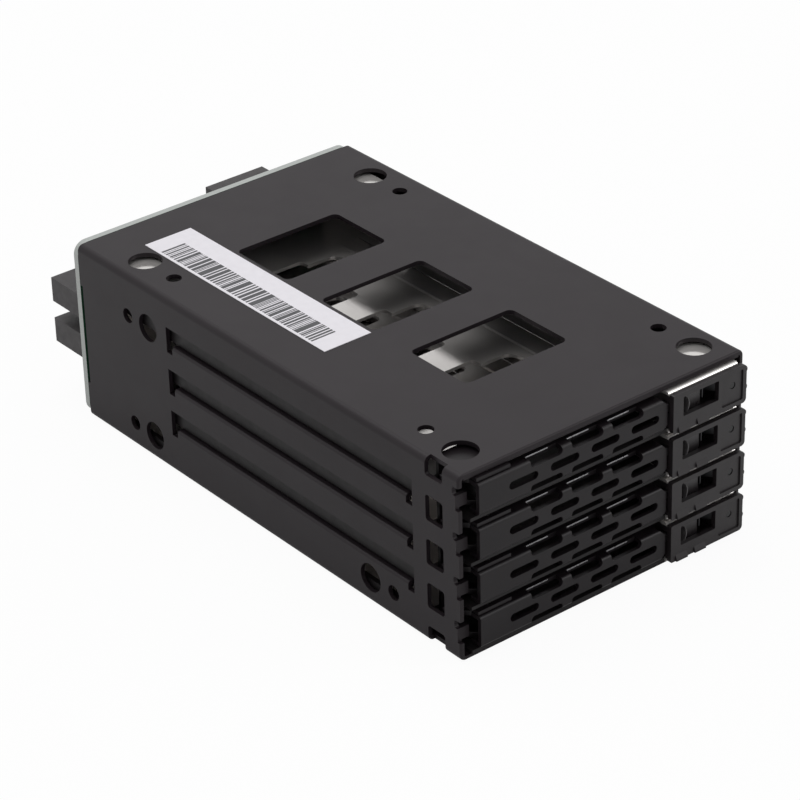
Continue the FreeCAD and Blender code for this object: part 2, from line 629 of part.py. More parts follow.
def make_lever():
    """Cam lever: a perforated channel with a barrel at its left end and two prongs behind the barrel."""
    body = new_body("lever")
    left, right = "left_side + lever_left", "left_side + lever_right"
    face, back = "front + lever_front", "front + lever_front + lever_sheet"
    extrude(body, "face", "y", face, back,
            (outline, [(left, "lever_low"), (right + " - lever_chamfer", "lever_low"),
                       (right, "lever_low + lever_chamfer"), (right, "lever_high - lever_chamfer"),
                       (right + " - lever_chamfer", "lever_high"), (left, "lever_high")]))
    for name, low, high in (("flange_low", "lever_low", "lever_low + lever_sheet"),
                            ("flange_high", "lever_high - lever_sheet", "lever_high")):
        extrude(body, name, "z", low, high,
                (rectangle, "pivot_column", right + " - lever_chamfer", back + " - lever_sheet / 2",
                 face + " + flange_depth"))
    holes = extrude(body, "hole", "y", face + " - nudge", back + " + nudge",
                    (obround, "left_side + hole_first - hole_length / 2",
                     "left_side + hole_first + hole_length / 2", "(lever_low + lever_high) / 2",
                     "hole_height"), cut=True)
    repeat(body, "holes", [holes], "x", "hole_pitch", 4)
    ends = ("left_side + cut_first - cut_length / 2", "left_side + cut_first + cut_length / 2")
    cuts = extrude(body, "edge_cut", "y", face + " - nudge", face + " + flange_depth + nudge",
                   (rectangle, *ends, "lever_low - nudge", "lever_low + cut_depth"),
                   (rectangle, *ends, "lever_high - cut_depth", "lever_high + nudge"), cut=True)
    repeat(body, "edge_cuts", [cuts], "x", "cut_pitch", 3)
    strip = ("pivot_column + barrel_radius", right + " - 2 * lever_chamfer")
    extrude(body, "strips", "y", back + " + rib_setback", back + " + rib_setback + rib_sheet",
            (rectangle, *strip, "lever_low + lever_sheet / 2", "lever_low + lever_sheet / 2 + rib_strip"),
            (rectangle, *strip, "lever_high - lever_sheet / 2 - rib_strip", "lever_high - lever_sheet / 2"))
    extrude(body, "barrel", "z", "lever_low", "lever_high",
            (disc, "pivot_column", "pivot_row", "barrel_radius"))
    reach, depth = "left_side + prong_reach", "front + prong_depth"
    prong = [("pivot_column - barrel_radius * 0.9", "pivot_row"),
             ("pivot_column + barrel_radius * 0.5", "pivot_row + barrel_radius * 0.8"),
             (reach + " + 2 * prong_tip", depth + " + prong_tip"), (reach, depth + " + prong_tip"),
             (reach, depth + " - prong_tip")]
    for name, low in (("prong_low_arm", "prong_low"),
                      ("prong_high_arm", "lever_low + lever_high - prong_low - prong_sheet")):
        extrude(body, name, "z", low, low + " + prong_sheet", (outline, prong))
    extrude(body, "pin_bore", "z", "lever_low - nudge", "lever_high + nudge",
            (disc, "pivot_column", "pivot_row", "pin_radius + pin_fit"), cut=True)
    return body


def make_latch_housing():
    """Latch housing: a framed face with the button's window and a lamp hole, and a hollow block behind."""
    body = new_body("latch_housing")
    left, right = "left_side + latch_left", "left_side + latch_right"
    face, back = "front + latch_front", "front + latch_front + latch_wall"
    rear = "front + latch_front + latch_depth"
    extrude(body, "frame", "y", face, back, (rectangle, left, right, "frame_low", "frame_high"))
    extrude(body, "block", "y", back + " - nudge", rear,
            (rectangle, left + " + nudge", "tray_half - tray_sheet - nudge", "floor_top + nudge",
             "frame_high - tray_sheet - nudge"))
    extrude(body, "cavity", "y", back, rear + " + nudge",
            (rectangle, "left_side + slide_left - latch_wall", "left_side + slide_right + latch_wall",
             "slide_low - frame_border", "slide_high"), cut=True)
    extrude(body, "slide_window", "y", face + " - nudge", back + " + nudge",
            (rectangle, "left_side + slide_left", "left_side + slide_right", "slide_low", "slide_high",
             "nudge * 3"), cut=True)
    extrude(body, "panel", "y", face + " - nudge", face + " + frame_recess",
            (rectangle, "left_side + slide_right + frame_border", right + " - frame_border",
             "frame_low + frame_border", "frame_high - frame_border"), cut=True)
    extrude(body, "lamp_hole", "y", face + " - nudge", rear + " + nudge",
            (disc, "left_side + lamp_column", "lamp_height", "lamp_radius"), cut=True)
    middle = "(slide_low + slide_high) / 2"
    extrude(body, "nose_slot", "x", left + " - nudge", "left_side + slide_left - latch_wall + nudge",
            (rectangle, back + " + cavity_gap", back + " + nose_depth + 3 * cavity_gap",
             middle + " - nose_height / 2 - cavity_gap", middle + " + nose_height / 2 + cavity_gap"),
            cut=True)
    extrude(body, "feet", "y", face + " - foot_rise", face + " + nudge",
            *[(rectangle, "left_side + foot_first" + step, "left_side + foot_first + foot_width" + step,
               "frame_low", "frame_low + foot_height") for step in ("", " + foot_pitch")])
    extrude(body, "beads", "y", face + " + foot_rise", back,
            *[(disc, right + " - bead_radius + bead_rise", level, "bead_radius")
              for level in ("slide_low", "frame_high - bead_radius")])
    return body


def make_button():
    """Sliding release button: a plate behind the window, a ribbed thumb pad, and the nose of the latch."""
    body = new_body("button")
    back = "front + latch_front + latch_wall"
    plate = ("left_side + slide_left - latch_wall + cavity_gap",
             "left_side + slide_left - latch_wall + cavity_gap + button_width + latch_wall")
    extrude(body, "plate", "y", back + " + nudge", back + " + nudge + button_depth",
            (rectangle, *plate, "slide_low - frame_border + cavity_gap", "slide_high - cavity_gap"))
    pad_left = "left_side + slide_left + cavity_gap"
    extrude(body, "pad", "y", back + " - grip_rise", back + " + 2 * nudge",
            (rectangle, pad_left, pad_left + " + button_width - 2 * cavity_gap",
             "slide_low + cavity_gap", "slide_high - cavity_gap"))
    extrude(body, "grip", "y", "front + latch_front + nudge", back + " - grip_rise + nudge",
            (crescent, pad_left + " + grip_width", "slide_low + 3 * cavity_gap", "slide_high - 3 * cavity_gap",
             "2.4 * grip_width", "3.9 * grip_width"))
    middle = "(slide_low + slide_high) / 2"
    extrude(body, "nose", "x", "left_side + lever_right + run_gap", plate[0] + " + nudge",
            (rectangle, back + " + 2 * cavity_gap", back + " + 2 * cavity_gap + nose_depth",
             middle + " - nose_height / 2", middle + " + nose_height / 2"))
    return body


def make_spring():
    """Bent leaf spring that pushes the button shut, between the plate and the housing's right wall."""
    body = new_body("spring")
    shut = "left_side + slide_left + cavity_gap + button_width + nudge"
    wall = "left_side + slide_right + latch_wall - nudge"
    near = "front + latch_front + latch_wall + 2 * cavity_gap"
    far = near + " + button_depth"
    middle = "(slide_low + slide_high) / 2"
    extrude(body, "leaf", "z", middle + " - spring_height / 2", middle + " + spring_height / 2",
            (outline, [(shut, near), (shut + " + spring_strip", near),
                       ("(%s) / 2 + (%s) / 2" % (shut, wall), far), (wall + " - spring_strip", near),
                       (wall, near), ("(%s) / 2 + (%s) / 2 + spring_strip" % (shut, wall),
                                      far + " + 2 * spring_strip"),
                       ("(%s) / 2 + (%s) / 2 - spring_strip" % (shut, wall), far + " + 2 * spring_strip")]))
    return body


def make_light_pipe():
    """Light pipe from the backplane's lamp, along the right wall, to the hole beside the button."""
    body = new_body("light_pipe")
    extrude(body, "tip", "y", "front + latch_front + frame_recess + nudge", "front + pipe_elbow",
            (disc, "left_side + lamp_column", "lamp_height", "lamp_radius - nudge"))
    levels = ("lamp_height - pipe_bar / 2", "lamp_height + pipe_bar / 2")
    extrude(body, "bar", "z", *levels,
            (outline, [("left_side + lamp_column - lamp_radius + nudge", "front + pipe_elbow - pipe_bar"),
                       ("pipe_column + pipe_bar / 2", "front + pipe_elbow - pipe_bar"),
                       ("pipe_column + pipe_bar / 2", "front + pipe_rear"),
                       ("pipe_column - pipe_bar / 2", "front + pipe_rear"),
                       ("pipe_column - pipe_bar / 2", "front + pipe_elbow"),
                       ("left_side + lamp_column - lamp_radius + nudge", "front + pipe_elbow")]))
    return body


# ---- assembly ----

def in_bay(piece, name, number):
    """A copy of a tray's piece in its bay, counted from the top."""
    node = group(name, [piece])
    node.setExpression("Placement.Base.z", bind("shell_sheet + %d * bay_pitch" % (BAYS - number)))
    return node


def build():
    nodes = make_panels() + [make_board(), make_board_screws(), make_power_pins(), make_label()]
    header = make_power_header()
    for name, level in (("power_header_lower", 0), ("power_header_upper", 1)):
        node = group(name, [header])
        node.setExpression("Placement.Base.z", bind("%d * power_pitch" % level))
        nodes.append(node)
    bay_pieces = [("drive_receptacle_%d", make_socket()), ("data_header_%d", make_data_header()),
                  ("tray_%d_sled", make_sled()), ("tray_%d_hinge_bracket", make_bracket()),
                  ("tray_%d_lever", make_lever()),
                  ("tray_%d_latch_housing", make_latch_housing()), ("tray_%d_release_button", make_button()),
                  ("tray_%d_button_spring", make_spring()), ("tray_%d_light_pipe", make_light_pipe()),
                  ("tray_%d_lever_pin", rod("lever_pin", "z", "pin_radius", "frame_high - run_gap - nudge",
                                            "pivot_column", "pivot_row", "run_gap + nudge / 2"))]
    for number in range(1, BAYS + 1):
        nodes += [in_bay(piece, name % number, number) for name, piece in bay_pieces]
    return nodes


def check(nodes):
    """Stop on a failed feature, on a cut that removes nothing, and on a bad shape."""
    for item in doc.Objects:
        if "Invalid" in item.State or "Error" in item.State:
            raise RuntimeError("%s failed: %s" % (item.Name, item.State))
        if item.TypeId == "PartDesign::Pocket" and item.BaseFeature.Shape.Volume - item.Shape.Volume < 1e-3:
            raise RuntimeError(item.Name + " cuts nothing")
    for node in nodes:
        if node.Shape.isNull() or not node.Shape.isValid():
            raise RuntimeError(node.Label + " has a bad shape")


nodes = build()
doc.recompute()
check(nodes)
os.makedirs("parts", exist_ok=True)
for node in nodes:
    node.Shape.exportStep("parts/%s.step" % node.Label)
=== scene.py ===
"""Looks of the hot swap drive cage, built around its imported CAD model. Lengths are metres."""
import math

import bmesh
import bpy
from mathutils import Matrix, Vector
from mathutils.geometry import tessellate_polygon


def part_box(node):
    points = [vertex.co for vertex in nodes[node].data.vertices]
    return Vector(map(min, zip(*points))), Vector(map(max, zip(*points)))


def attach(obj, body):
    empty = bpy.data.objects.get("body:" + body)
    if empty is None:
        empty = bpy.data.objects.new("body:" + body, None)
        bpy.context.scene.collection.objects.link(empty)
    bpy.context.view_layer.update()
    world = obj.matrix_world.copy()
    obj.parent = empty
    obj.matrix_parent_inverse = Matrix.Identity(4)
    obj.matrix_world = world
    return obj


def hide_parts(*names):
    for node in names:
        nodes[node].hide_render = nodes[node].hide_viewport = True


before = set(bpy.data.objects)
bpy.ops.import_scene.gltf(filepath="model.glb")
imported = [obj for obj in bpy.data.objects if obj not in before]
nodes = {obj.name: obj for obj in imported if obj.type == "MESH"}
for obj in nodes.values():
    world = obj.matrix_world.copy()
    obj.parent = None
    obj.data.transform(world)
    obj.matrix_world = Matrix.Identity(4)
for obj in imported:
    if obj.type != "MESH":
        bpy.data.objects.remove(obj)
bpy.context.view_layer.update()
scene = bpy.context.scene
TRAYS = range(1, 5)
PANELS = ["cage_top", "cage_base", "cage_left_side", "cage_right_side"]

MM = 0.001
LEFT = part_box("cage_left_side")[0].x
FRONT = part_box("cage_base")[0].y
BAY_WIDTH = (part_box("cage_right_side")[1].x - LEFT) / MM

# Sizes of the tray pieces, in millimetres. Places are measured from the cage's left side, its
# front and the bay's floor.
RUN_GAP = 0.3                                   # between a tray and what it runs on
SHEET = 0.8                                     # the sled's plated sheet
FLOOR_LOW, FLOOR_TOP = 0.3, 1.1
TRAY_EDGE, SLED_EDGE = 1.4, 2.6                 # outer faces of the rails and of the sled's floor
TRAY_FRONT, WALL_FRONT, TRAY_REAR = -1.1, 13.5, 123.0
RAIL_TOP, TRAY_TOP = 3.5, 9.8
FLOOR_FRONT = 11.2                              # where the sled's floor starts behind the lever
OPENING_REAR, OPENING_PITCH = 45.5, 30.3
OPENING_LEFT, OPENING_STEP, OPENING_RIGHT = 24.9, 44.5, 52.9
DRIVE_BORE = 1.6
HOLD_LENGTH = 12.0
LEVER_LEFT, LEVER_RIGHT, LEVER_LOW, LEVER_HIGH = 4.2, 54.9, 1.4, 8.8
LEVER_FACE, LEVER_BACK, LEVER_SHEET = -1.5, 1.6, 1.0
LEVER_CHAMFER = 1.4
PIVOT = (8.0, 1.0)
HOLE_FIRST, HOLE_PITCH, HOLE_LENGTH, HOLE_HALF = 12.05, 10.95, 7.6, 0.94
NOTCHES = [17.75 + 10.98 * i for i in range(3)]  # where the lever's notches start
NOTCH_LENGTH, NOTCH_DEPTH, NOTCH_BACK = 8.4, 1.6, 0.6
LATCH_LEFT, LATCH_RIGHT, LATCH_LOW, LATCH_HIGH = 55.6, 76.4, 0.4, 9.5
LATCH_FACE, LATCH_BACK, BLOCK_REAR = -2.5, -1.3, 12.0
LAMP = (72.7, 5.5, 0.8)                         # across, up, radius


# ---- camera ----

def make_camera():
    data = bpy.data.cameras.new("camera")
    data.sensor_width = 36.0
    data.lens = 148.88
    data.clip_start = 0.01
    camera = bpy.data.objects.new("camera", data)
    camera.location = (-0.3898, -0.4890, 0.38186)
    camera.rotation_euler = [math.radians(angle) for angle in (59.927, 1.401, -39.081)]
    scene.collection.objects.link(camera)
    scene.camera = camera


# ---- materials ----

def new_material(name):
    material = bpy.data.materials.new(name)
    material.use_nodes = True
    tree = material.node_tree
    return material, tree, tree.nodes["Principled BSDF"]


def add(tree, kind, **settings):
    """A node with its properties and input values set by name."""
    node = tree.nodes.new(kind)
    for key, value in settings.items():
        if key in node.inputs:
            node.inputs[key].default_value = value
        else:
            setattr(node, key, value)
    return node


def noise(tree, scale, detail=4.0, roughness=0.55, stretch=(1.0, 1.0, 1.0)):
    """A noise factor in object space, in cells per metre."""
    coordinates = add(tree, "ShaderNodeTexCoord")
    mapping = add(tree, "ShaderNodeMapping")
    mapping.inputs["Scale"].default_value = stretch
    texture = add(tree, "ShaderNodeTexNoise", Scale=scale, Detail=detail, Roughness=roughness)
    tree.links.new(coordinates.outputs["Object"], mapping.inputs["Vector"])
    tree.links.new(mapping.outputs["Vector"], texture.inputs["Vector"])
    return texture.outputs["Fac"]


def ramp(tree, factor, *stops):
    """A colour ramp. Each stop is (position, grey or colour)."""
    node = add(tree, "ShaderNodeValToRGB")
    elements = node.color_ramp.elements
    while len(elements) < len(stops):
        elements.new(0.5)
    for element, (position, colour) in zip(elements, stops):
        element.position = position
        element.color = (*colour, 1) if isinstance(colour, tuple) else (colour, colour, colour, 1)
    tree.links.new(factor, node.inputs["Fac"])
    return node.outputs["Color"]


def spread(tree, factor, low, high):
    node = add(tree, "ShaderNodeMapRange")
    node.inputs["To Min"].default_value = low
    node.inputs["To Max"].default_value = high
    node.inputs["From Min"].default_value = 0.3
    node.inputs["From Max"].default_value = 0.7
    tree.links.new(factor, node.inputs["Value"])
    return node.outputs["Result"]


def bump(tree, shader, height, strength, distance):
    node = add(tree, "ShaderNodeBump", Strength=strength, Distance=distance)
    tree.links.new(height, node.inputs["Height"])
    tree.links.new(node.outputs["Normal"], shader.inputs["Normal"])
    return node


def coated(name, dark, light, rough, grain, gloss):
    """Painted sheet: a fine-grained coat with slow changes of tone and gloss."""
    material, tree, shader = new_material(name)
    shader.inputs["Specular IOR Level"].default_value = gloss
    tone = ramp(tree, noise(tree, 60.0), (0.3, dark), (0.7, light))
    tree.links.new(tone, shader.inputs["Base Color"])
    tree.links.new(spread(tree, noise(tree, 140.0, detail=6.0), *rough), shader.inputs["Roughness"])
    bump(tree, shader, noise(tree, grain, detail=2.0), 0.12, 0.00004)
    return material


def moulded(name, dark, light, rough, grain, gloss=0.4):
    """Injection-moulded plastic with a fine spark-eroded grain."""
    material, tree, shader = new_material(name)
    shader.inputs["Specular IOR Level"].default_value = gloss
    tone = ramp(tree, noise(tree, 300.0), (0.3, dark), (0.7, light))
    tree.links.new(tone, shader.inputs["Base Color"])
    tree.links.new(spread(tree, noise(tree, 500.0), *rough), shader.inputs["Roughness"])
    bump(tree, shader, noise(tree, grain, detail=3.0), 0.2, 0.00003)
    return material


def bare_metal(name, dark, light, rough, stretch, metallic=1.0, wave=0.1):
    """Plated sheet: bright metal with rolling streaks."""
    material, tree, shader = new_material(name)
    shader.inputs["Metallic"].default_value = metallic
    tree.links.new(ramp(tree, noise(tree, 90.0, stretch=stretch), (0.3, dark), (0.7, light)),
                   shader.inputs["Base Color"])
    gloss = spread(tree, noise(tree, 900.0, stretch=stretch), *rough)
    tree.links.new(gloss, shader.inputs["Roughness"])
    bump(tree, shader, noise(tree, 120.0, detail=2.0), wave, 0.0001)
    return material


def board_material():
    """Circuit board: pale glass-fibre edges, dark green faces."""
    material, tree, shader = new_material("board")
    fibre = ramp(tree, noise(tree, 900.0, stretch=(1, 20, 1)),
                 (0.3, (0.34, 0.36, 0.35)), (0.7, (0.44, 0.46, 0.44)))
    mask = ramp(tree, noise(tree, 80.0), (0.3, (0.012, 0.055, 0.028)), (0.7, (0.018, 0.075, 0.038)))
    normal = add(tree, "ShaderNodeNewGeometry")
    split = add(tree, "ShaderNodeSeparateXYZ")
    size = add(tree, "ShaderNodeMath", operation="ABSOLUTE")
    tree.links.new(normal.outputs["True Normal"], split.inputs["Vector"])
    tree.links.new(split.outputs["Y"], size.inputs[0])
    mix = add(tree, "ShaderNodeMix", data_type="RGBA")
    tree.links.new(size.outputs[0], mix.inputs["Factor"])
    tree.links.new(fibre, mix.inputs[6])
    tree.links.new(mask, mix.inputs[7])
    tree.links.new(mix.outputs[2], shader.inputs["Base Color"])
    tree.links.new(spread(tree, noise(tree, 300.0), 0.35, 0.5), shader.inputs["Roughness"])
    return material


def label_material():
    """Matte white paper with a strip of plain bars of uneven width."""
    material, tree, shader = new_material("label")
    low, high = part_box("asset_label")
    coordinates = add(tree, "ShaderNodeTexCoord")
    split = add(tree, "ShaderNodeSeparateXYZ")
    tree.links.new(coordinates.outputs["Object"], split.inputs["Vector"])
    along = add(tree, "ShaderNodeCombineXYZ")
    tree.links.new(split.outputs["Y"], along.inputs["X"])
    bars = add(tree, "ShaderNodeTexNoise", Scale=2000.0, Detail=0.0)
    tree.links.new(along.outputs["Vector"], bars.inputs["Vector"])
    dark = add(tree, "ShaderNodeMath", operation="GREATER_THAN")
    dark.inputs[1].default_value = 0.47
    tree.links.new(bars.outputs["Fac"], dark.inputs[0])

    def inside(socket, first, last):
        """1 between two places along a socket."""
        over = add(tree, "ShaderNodeMath", operation="GREATER_THAN")
        under = add(tree, "ShaderNodeMath", operation="LESS_THAN")
        both = add(tree, "ShaderNodeMath", operation="MULTIPLY")
        over.inputs[1].default_value, under.inputs[1].default_value = first, last
        tree.links.new(socket, over.inputs[0])
        tree.links.new(socket, under.inputs[0])
        tree.links.new(over.outputs[0], both.inputs[0])
        tree.links.new(under.outputs[0], both.inputs[1])
        return both.outputs[0]

    def times(first, second):
        node = add(tree, "ShaderNodeMath", operation="MULTIPLY")
        tree.links.new(first, node.inputs[0])
        tree.links.new(second, node.inputs[1])
        return node.outputs[0]

    strip = times(inside(split.outputs["X"], low.x + 0.0007, low.x + 0.0071),
                  inside(split.outputs["Y"], low.y + 0.0052, high.y - 0.0052))
    mix = add(tree, "ShaderNodeMix", data_type="RGBA")
    tree.links.new(times(strip, dark.outputs[0]), mix.inputs["Factor"])
    paper = ramp(tree, noise(tree, 500.0), (0.3, (0.72, 0.7, 0.74)), (0.7, (0.76, 0.74, 0.78)))
    tree.links.new(paper, mix.inputs[6])
    mix.inputs[7].default_value = (0.05, 0.05, 0.055, 1)
    tree.links.new(mix.outputs[2], shader.inputs["Base Color"])
    tree.links.new(spread(tree, noise(tree, 800.0), 0.45, 0.6), shader.inputs["Roughness"])
    return material


def dress(material, *names):
    for name in names:
        slots = nodes[name].data.materials
        if slots:
            slots[0] = material
        else:
            slots.append(material)


def each_tray(piece):
    return ["tray_%d_%s" % (number, piece) for number in TRAYS]


FINISHES = {}


def make_finishes():
    """The materials that CAD nodes and new pieces share."""
    FINISHES["black_coat"] = coated(
        "shell_coat", (0.0122, 0.0088, 0.0108), (0.0148, 0.0112, 0.0135), (0.39, 0.43), 2200.0, 0.22)
    FINISHES["lever_coat"] = coated(
        "lever_coat", (0.0065, 0.0047, 0.0058), (0.009, 0.0068, 0.0082), (0.3, 0.4), 2500.0, 0.27)
    FINISHES["latch_plastic"] = moulded(
        "latch_plastic", (0.011, 0.0088, 0.0098), (0.016, 0.013, 0.0145), (0.32, 0.44), 4000.0)
    FINISHES["button_plastic"] = moulded(
        "button_plastic", (0.016, 0.014, 0.015), (0.024, 0.021, 0.0225), (0.25, 0.36), 4000.0, 0.5)
    # lighter than the button's plastic: a painted highlight on the grip
    FINISHES["grip_highlight_plastic"] = moulded(
        "grip_highlight_plastic", (0.05, 0.047, 0.048), (0.075, 0.07, 0.072), (0.15, 0.25), 4000.0, 0.7)
    FINISHES["rail_plastic"] = moulded(
        "rail_plastic", (0.006, 0.005, 0.0055), (0.01, 0.0085, 0.009), (0.4, 0.5), 3000.0, 0.25)
    FINISHES["connector_black"] = moulded(
        "connector_plastic", (0.024, 0.021, 0.022), (0.038, 0.034, 0.036), (0.4, 0.55), 3000.0)
    FINISHES["tray_metal"] = bare_metal(
        "zinc_sheet", (0.66, 0.635, 0.615), (0.74, 0.715, 0.695), (0.1, 0.17), (1, 0.3, 1), 0.68, 0.03)
    FINISHES["spring_steel"] = bare_metal(
        "spring_steel", (0.03, 0.03, 0.032), (0.05, 0.05, 0.052), (0.3, 0.45), (1, 1, 1))
    FINISHES["pin_steel"] = bare_metal(
        "steel", (0.5, 0.5, 0.51), (0.62, 0.62, 0.63), (0.2, 0.35), (1, 1, 0.2))
    FINISHES["contact"] = bare_metal(
        "tinned", (0.62, 0.58, 0.5), (0.75, 0.72, 0.64), (0.2, 0.35), (1, 0.2, 1))
    FINISHES["smoked_plastic"] = moulded(
        "smoked_plastic", (0.006, 0.006, 0.007), (0.01, 0.01, 0.011), (0.15, 0.25), 3000.0, 0.4)


def dress_all():
    """The CAD nodes that stay, each with its material."""
    dress(FINISHES["black_coat"], *PANELS)
    dress(FINISHES["lever_coat"], *each_tray("hinge_bracket"))
    dress(FINISHES["connector_black"], "power_header_lower", "power_header_upper",
          *["%s_%d" % (kind, i) for kind in ("drive_receptacle", "data_header") for i in TRAYS])
    dress(FINISHES["pin_steel"], "backplane_screws", *each_tray("lever_pin"))
    dress(FINISHES["spring_steel"], *each_tray("button_spring"))
    dress(FINISHES["smoked_plastic"], *each_tray("light_pipe"))
    dress(FINISHES["contact"], "power_pins")
    dress(board_material(), "backplane_board")
    dress(label_material(), "asset_label")


# ---- shapes, in millimetres ----

AXES = {"x": (1, 2, 0), "y": (0, 2, 1), "z": (0, 1, 2)}    # places of (across, up, depth) in (x, y, z)


def rounded(*corners, steps=5):
    """Points of a closed outline. Each corner is (across, up) or (across, up, radius)."""
    points = []
    for i, corner in enumerate(corners):
        spot = Vector(corner[:2])
        if len(corner) == 2:
            points.append(tuple(spot))
            continue
        before = (Vector(corners[i - 1][:2]) - spot).normalized()
        after = (Vector(corners[(i + 1) % len(corners)][:2]) - spot).normalized()
        half = before.angle(after) / 2
        centre = spot + (before + after).normalized() * corner[2] / math.sin(half)
        first, last = (spot + way * corner[2] / math.tan(half) - centre for way in (before, after))
        start = math.atan2(first.y, first.x)
        sweep = (math.atan2(last.y, last.x) - start + math.pi) % (2 * math.pi) - math.pi
        angles = [start + sweep * step / steps for step in range(steps + 1)]
        points += [(centre.x + corner[2] * math.cos(angle), centre.y + corner[2] * math.sin(angle))
                   for angle in angles]
    return points


def oblong(left, right, low, high, radius=None):
    """A rectangle, with round corners if a radius is given."""
    corners = [(left, low), (right, low), (right, high), (left, high)]
    return rounded(*[corner + (radius,) for corner in corners] if radius else corners)


def disc(across, up, radius, steps=20):
    angles = [2 * math.pi * i / steps for i in range(steps)]
    return [(across + radius * math.cos(angle), up + radius * math.sin(angle)) for angle in angles]


def prism(axis, low, high, outer, *holes):
    """A solid of one outline with holes in it, from low to high along an axis."""
    loops = [outer, *holes]
    flat = [point for loop in loops for point in loop]
    mesh = bmesh.new()
    levels = []
    for depth in (low, high):
        ring = []
        for across, up in flat:
            spot = [0.0, 0.0, 0.0]
            for index, value in zip(AXES[axis], (across, up, depth)):
                spot[index] = value
            ring.append(mesh.verts.new(spot))
        levels.append(ring)
    for corners in tessellate_polygon([[Vector((*point, 0)) for point in loop] for loop in loops]):
        for ring in levels:
            mesh.faces.new([ring[i] for i in corners])
    start = 0
    for loop in loops:
        for i in range(len(loop)):
            j = start + (i + 1) % len(loop)
            mesh.faces.new([levels[0][start + i], levels[0][j], levels[1][j], levels[1][start + i]])
        start += len(loop)
    bmesh.ops.recalc_face_normals(mesh, faces=mesh.faces[:])
    bmesh.ops.dissolve_limit(mesh, angle_limit=math.radians(1), verts=mesh.verts[:],
                             edges=mesh.edges[:])
    return finished(mesh)


def finished(mesh):
    data = bpy.data.meshes.new("shape")
    mesh.to_mesh(data)
    mesh.free()
    return data


def joined(*shapes):
    """Several shapes as one."""
    mesh = bmesh.new()
    for shape in shapes:
        mesh.from_mesh(shape)
    return finished(mesh)


def carved(shape, *cutters):
    """A shape with others cut out of it."""
    whole = bpy.data.objects.new("whole", shape)
    scene.collection.objects.link(whole)
    tools = []
    for cutter in cutters:
        tool = bpy.data.objects.new("cutter", cutter)
        scene.collection.objects.link(tool)
        tools.append(tool)
        step = whole.modifiers.new("cut", "BOOLEAN")
        step.operation, step.solver, step.object = "DIFFERENCE", "EXACT", tool
    bpy.context.view_layer.update()
    result = bpy.data.meshes.new_from_object(whole.evaluated_get(bpy.context.evaluated_depsgraph_get()))
    for thing in [whole, *tools]:
        bpy.data.objects.remove(thing)
    return result


def place(name, shape, number, finish, body, stands_for=(), edge=None):
    """A copy of a shape in a tray's bay, as a piece that rides on a body."""
    data = shape.copy()
    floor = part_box("tray_%d_sled" % number)[0].z - RUN_GAP * MM
    for vertex in data.vertices:
        x, y, z = vertex.co
        vertex.co = (LEFT + x * MM, FRONT + y * MM, floor + z * MM)
    data.materials.clear()
    data.materials.append(FINISHES[finish])
    piece = bpy.data.objects.new("tray_%d_%s" % (number, name), data)
    scene.collection.objects.link(piece)
    if edge:
        bevel = piece.modifiers.new("broken_edges", "BEVEL")
        bevel.width, bevel.segments = edge * MM, 2
        bevel.limit_method, bevel.angle_limit = "ANGLE", math.radians(40)
    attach(piece, body)
    if stands_for:
        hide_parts(*["tray_%d_%s" % (number, node) for node in stands_for])


def mirrored(low, high):
    """A span and its mirror image across the bay."""
    return [(low, high), (BAY_WIDTH - high, BAY_WIDTH - low)]


# ---- tray pieces ----

def sled_shape():
    """Plated sled: floor with stepped openings and ribs, the pocket over the latch, the hold-downs."""
    right_edge = BAY_WIDTH - SLED_EDGE
    floor = rounded((SLED_EDGE, WALL_FRONT), (LEVER_LEFT, WALL_FRONT), (LEVER_LEFT, FLOOR_FRONT, 0.8),
                    (LATCH_LEFT, FLOOR_FRONT), (LATCH_LEFT, TRAY_FRONT), (right_edge, TRAY_FRONT),
                    (right_edge, TRAY_REAR), (SLED_EDGE, TRAY_REAR))
    holes = [disc(x, y, DRIVE_BORE) for x in (8.04, 69.76) for y in (27.4, 104.0)]
    for window in range(3):
        y = OPENING_REAR + OPENING_PITCH * window
        holes.append(rounded((OPENING_LEFT, y - 18.8, 1.0), (OPENING_STEP, y - 18.8, 1.0),
                             (OPENING_STEP, y - 15.9), (OPENING_RIGHT, y - 15.9, 1.5),
                             (OPENING_RIGHT, y, 3.0), (OPENING_STEP, y),
                             (OPENING_STEP, y + 2.7, 1.0), (OPENING_LEFT, y + 2.7, 1.0)))
    parts = [prism("z", FLOOR_LOW, FLOOR_TOP, floor, *holes)]
    for left, right, high in ((55.6, 61.6, 1.35), (63.6, 68.6, 1.35)):
        parts.append(prism("y", 24.0, 109.0, rounded((left, FLOOR_TOP), (right, FLOOR_TOP),
                                                     (right - 0.5, high), (left + 0.5, high))))
    pocket = prism("x", LATCH_LEFT, right_edge,
                   rounded((TRAY_FRONT, FLOOR_LOW), (WALL_FRONT, FLOOR_LOW), (WALL_FRONT, TRAY_TOP),
                           (TRAY_FRONT, TRAY_TOP, 0.9)))
    parts.append(carved(pocket, prism("x", 55.0, right_edge - SHEET,
                                      oblong(-2.0, 14.0, 0.0, TRAY_TOP - SHEET, 0.3))))
    for left, right in mirrored(4.3, 16.3):
        parts.append(prism("x", left, right,
                           rounded((TRAY_REAR - SHEET, FLOOR_TOP), (TRAY_REAR, FLOOR_TOP),
                                   (TRAY_REAR, TRAY_TOP, 1.0), (TRAY_REAR - HOLD_LENGTH, TRAY_TOP),
                                   (TRAY_REAR - HOLD_LENGTH, TRAY_TOP - SHEET),
                                   (TRAY_REAR - SHEET, TRAY_TOP - SHEET, 0.2))))
    return joined(*parts)


def rails_shape():
    """Black moulding in front of the sled's floor and along both its sides."""
    return joined(prism("z", FLOOR_LOW, FLOOR_TOP, oblong(SLED_EDGE, 55.5, -0.6, 11.1)),
                  *[prism("x", *span, oblong(WALL_FRONT, TRAY_REAR, FLOOR_LOW, RAIL_TOP, 0.3))
                    for span in mirrored(TRAY_EDGE, SLED_EDGE)])


